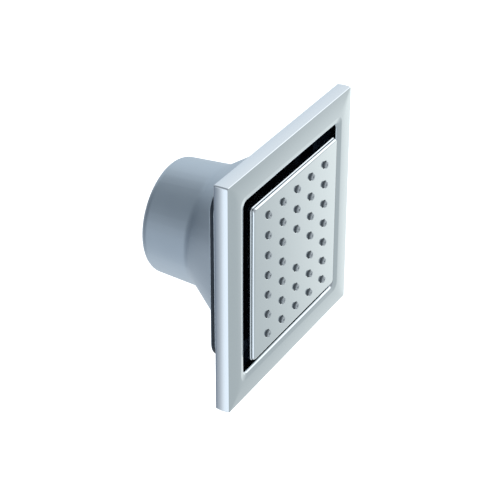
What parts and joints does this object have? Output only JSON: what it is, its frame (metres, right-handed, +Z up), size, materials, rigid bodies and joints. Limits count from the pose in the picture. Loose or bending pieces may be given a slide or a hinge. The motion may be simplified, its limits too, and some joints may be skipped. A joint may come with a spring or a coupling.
{
  "type": "shower body jet",
  "caption": "Square adjustable body jet for a shower wall: chrome trim plate, spray face with soft nozzles on a ball joint, and a bell-shaped housing with a threaded inlet.",
  "frame": {"origin": "centre of the trim plate, on the face of the wall", "axes": "+Z up, +X to the right seen from the room, +Y into the wall; the water leaves towards -Y"},
  "size_m": [0.1108, 0.0661, 0.1108],
  "materials": {
    "chrome": "bright chrome plate on brass",
    "satin_metal": "fine satin plating",
    "silicone": "matt grey silicone",
    "black_plastic": "moulded black plastic",
    "steel": "stainless steel",
    "brass": "turned brass",
    "rubber": "black rubber",
    "foam": "closed-cell foam",
    "white_plastic": "acetal"
  },
  "bodies": {
    "base": {"trim_plate": "chrome", "trim_clips": "steel", "clip_rivets": "steel", "wall_gasket": "foam", "housing": "satin_metal", "box_seal": "rubber", "inlet_body": "brass", "inlet_o_ring": "rubber", "nut_washer": "brass", "inlet_lock_nut": "brass", "filter_screen": "steel", "ball_seat": "white_plastic", "ball_seal": "rubber", "seat_spring": "steel", "ball_nut": "black_plastic"},
    "guide": {"guide_pins": "steel"},
    "head": {"face_plate": "chrome", "nozzle_mat": "silicone", "chamber_back": "black_plastic", "chamber_screws": "steel", "swivel_ball": "brass", "stem_washer": "rubber", "flow_restrictor": "white_plastic"}
  },
  "joints": [
    {"name": "head_swing", "type": "hinge", "parent": "base", "child": "guide", "pos_m": [0, 0.022, 0], "axis": [0, 0, 1], "range_deg": [-6, 6]},
    {"name": "head_tilt", "type": "hinge", "parent": "guide", "child": "head", "pos_m": [0, 0.022, 0], "axis": [1, 0, 0], "range_deg": [-6, 6]}
  ]
}
